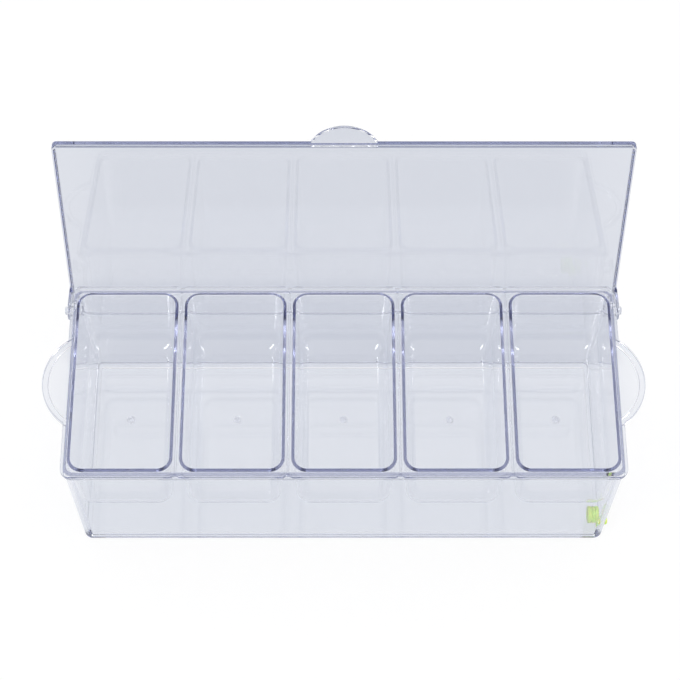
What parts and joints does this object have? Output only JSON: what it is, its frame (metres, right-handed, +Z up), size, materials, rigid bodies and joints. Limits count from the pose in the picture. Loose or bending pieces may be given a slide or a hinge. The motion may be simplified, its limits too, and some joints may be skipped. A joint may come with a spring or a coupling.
{
  "type": "condiment caddy",
  "caption": "Clear condiment caddy: an ice base with end handles and a drain plug, a row of lift-out tubs, and one hinged lid that leans back on the base when open.",
  "frame": {"origin": "centre of the ice base's underside", "axes": "+X along the caddy to the right as the user faces it, +Y to the rear where the lid is hinged, +Z up"},
  "size_m": [0.4446, 0.211, 0.2552],
  "materials": {
    "clear_base": "clear, polished, moulded",
    "clear_tub": "clear, polished, moulded",
    "clear_lid": "clear, polished, moulded",
    "clear_pin": "clear, polished, moulded",
    "lime_silicone": "satin silicone, lime green"
  },
  "bodies": {
    "base": {"ice_base": "clear_base", "hinge_pin_left": "clear_pin", "hinge_pin_right": "clear_pin"},
    "lid": {"lid": "clear_lid"},
    "tub_1": {"tub_1": "clear_tub"},
    "tub_2": {"tub_2": "clear_tub"},
    "tub_3": {"tub_3": "clear_tub"},
    "tub_4": {"tub_4": "clear_tub"},
    "tub_5": {"tub_5": "clear_tub"},
    "plug": {"drain_plug": "lime_silicone"}
  },
  "joints": [
    {"name": "lid_hinge", "type": "hinge", "parent": "base", "child": "lid", "pos_m": [0, 0.0692, 0.0983], "axis": [-1, 0, 0], "range_deg": [-103.4, 0]},
    {"name": "tub_1_lift", "type": "slide", "parent": "base", "child": "tub_1", "axis": [0, 0, 1], "range_m": [0, 0.09]},
    {"name": "tub_2_lift", "type": "slide", "parent": "base", "child": "tub_2", "axis": [0, 0, 1], "range_m": [0, 0.09]},
    {"name": "tub_3_lift", "type": "slide", "parent": "base", "child": "tub_3", "axis": [0, 0, 1], "range_m": [0, 0.09]},
    {"name": "tub_4_lift", "type": "slide", "parent": "base", "child": "tub_4", "axis": [0, 0, 1], "range_m": [0, 0.09]},
    {"name": "tub_5_lift", "type": "slide", "parent": "base", "child": "tub_5", "axis": [0, 0, 1], "range_m": [0, 0.09]},
    {"name": "plug_push", "type": "slide", "parent": "base", "child": "plug", "axis": [-1, 0, 0], "range_m": [0, 0.012]}
  ]
}
